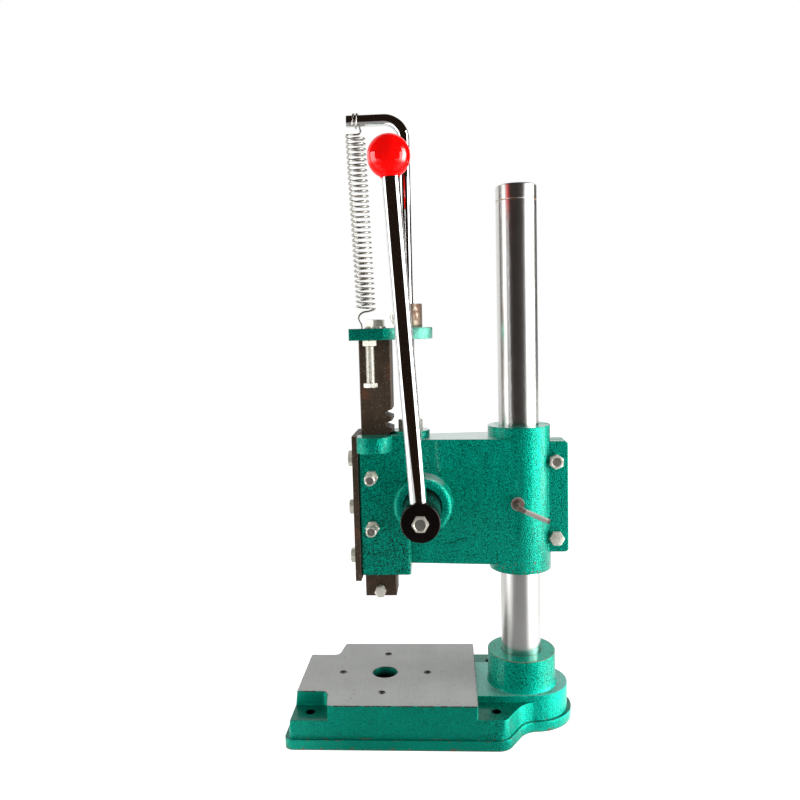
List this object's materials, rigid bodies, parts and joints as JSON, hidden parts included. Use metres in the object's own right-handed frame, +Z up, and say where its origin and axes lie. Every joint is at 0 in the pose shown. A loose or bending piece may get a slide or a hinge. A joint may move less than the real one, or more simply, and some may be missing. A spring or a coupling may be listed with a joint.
{
  "type": "bench hand press",
  "caption": "Column-mounted rack-and-pinion hand press with a square ram, a long ball-ended lever, a return spring on a bent post and a cast base with a flat table.",
  "frame": {"origin": "on the floor under the ram, at the lower end of the die hole", "axes": "+X from the ram to the column, +Y to the back, away from the lever, +Z up along the ram"},
  "size_m": [0.398, 0.2655, 0.8561],
  "materials": {
    "green_paint": "hammer-tone gloss paint, bare ground steel on the table top",
    "ground_steel": "ground",
    "dark_steel": "dark ground steel with fine grain",
    "zinc_plate": "pale plated fasteners",
    "bronze": "turned bearing bronze",
    "brown_steel": "brownish bare steel",
    "chrome": "polished chrome plating",
    "rusty_steel": "turned steel with brown rust",
    "spring_wire": "drawn spring wire",
    "black_oxide": "black oxide",
    "red_knob": "polished"
  },
  "bodies": {
    "base": {"base_casting": "green_paint", "column": "ground_steel"},
    "head": {"head_casting": "green_paint", "cover_plate": "dark_steel", "cover_bolts": "zinc_plate", "gib_strip": "dark_steel", "gib_screws": "zinc_plate", "gib_lock_nuts": "zinc_plate", "front_bush": "bronze", "rear_bush": "bronze", "clamp_bolts": "zinc_plate", "clamp_washers": "zinc_plate", "clamp_nuts": "zinc_plate", "spring_post": "chrome", "post_lock_nut": "zinc_plate", "stop_collar": "rusty_steel", "stop_collar_screw": "zinc_plate", "return_spring": "spring_wire"},
    "column_lock": {"lock_handle": "brown_steel"},
    "ram": {"ram": "dark_steel", "crosshead_plate": "green_paint", "crosshead_bolt": "zinc_plate", "crosshead_washer": "zinc_plate", "stop_bolt_nut": "zinc_plate", "tool_clamp_screw": "zinc_plate"},
    "depth_stop": {"stop_bolt": "zinc_plate"},
    "lever": {"pinion_shaft": "ground_steel", "pinion_gear": "dark_steel", "pinion_key": "ground_steel", "lever_hub": "black_oxide", "hub_key": "ground_steel", "hub_bolt": "zinc_plate", "lever_bar": "chrome", "ball_knob": "red_knob", "rear_collar": "black_oxide", "rear_collar_screw": "black_oxide"}
  },
  "joints": [
    {"name": "head_height", "type": "slide", "parent": "base", "child": "head", "axis": [0, 0, 1], "range_m": [-0.055, 0.32]},
    {"name": "column_lock_turn", "type": "hinge", "parent": "head", "child": "column_lock", "pos_m": [0.1985, 0, 0.318], "axis": [0.1392, 0.9903, 0], "range_deg": [-90, 90]},
    {"name": "ram_slide", "type": "slide", "parent": "head", "child": "ram", "axis": [0, 0, -1], "range_m": [0, 0.066], "stiffness_N_per_m": 1115, "springref_m": -0.144, "deforming": ["return_spring"]},
    {"name": "lever_turn", "type": "hinge", "parent": "head", "child": "lever", "pos_m": [0.063, 0, 0.319], "axis": [0, -1, 0], "range_deg": [0, 84]},
    {"name": "stop_adjust", "type": "slide", "parent": "ram", "child": "depth_stop", "axis": [0, 0, 1], "range_m": [0, 0.03]}
  ],
  "couplings": [
    {"joint": "ram_slide", "follows": "lever_turn", "m_per_rad": 0.045}
  ]
}
